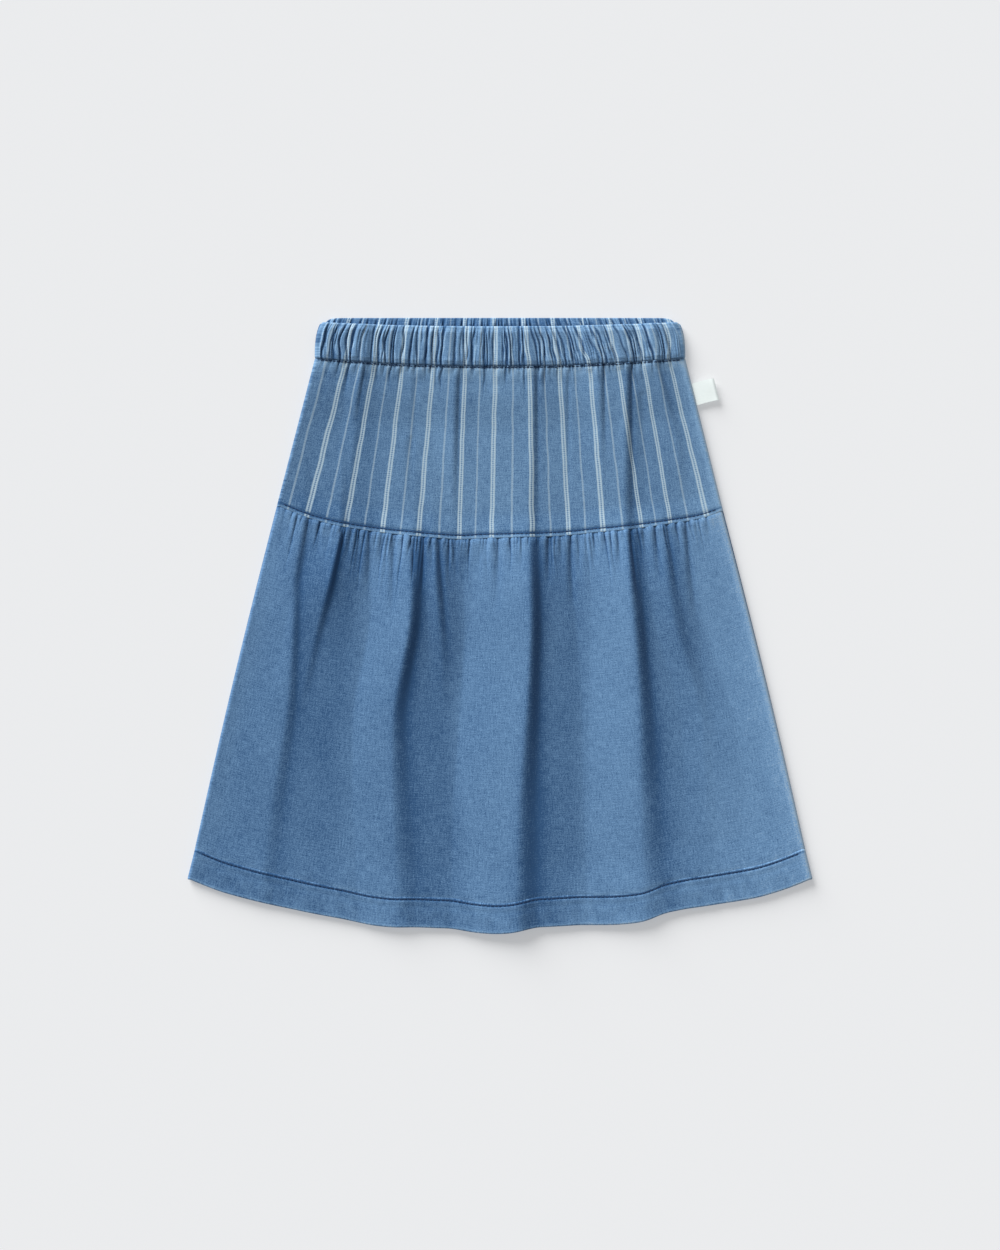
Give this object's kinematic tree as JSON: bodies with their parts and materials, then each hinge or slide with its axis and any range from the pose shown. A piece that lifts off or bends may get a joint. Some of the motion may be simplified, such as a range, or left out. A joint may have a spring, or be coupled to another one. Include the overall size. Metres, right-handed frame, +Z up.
{
  "type": "denim skirt",
  "caption": "Child's pull-on denim skirt laid flat: gathered elastic waistband, pinstriped yoke, gathered plain tier and topstitched hem.",
  "frame": {"origin": "on the surface that the skirt lies on, at the middle of its outline", "axes": "+X to the skirt's right as the picture shows it, +Y from the hem towards the waist, +Z up from the surface"},
  "size_m": [0.4368, 0.4299, 0.0124],
  "materials": {
    "striped_denim": "mid-blue chambray denim with woven pale pinstripes, matt",
    "plain_denim": "washed mid-blue chambray denim, matt, with a soft slub",
    "seam_thread": "dark indigo polyester sewing thread, low sheen",
    "label_cloth": "blank off-white woven label tape, smooth"
  },
  "bodies": {
    "root": {"waistband_front": "striped_denim", "waistband_back": "striped_denim", "yoke_front": "striped_denim", "yoke_back": "striped_denim", "tier_front": "plain_denim", "tier_back": "plain_denim", "hem_front": "plain_denim", "hem_back": "plain_denim", "side_label": "label_cloth"}
  },
  "joints": []
}
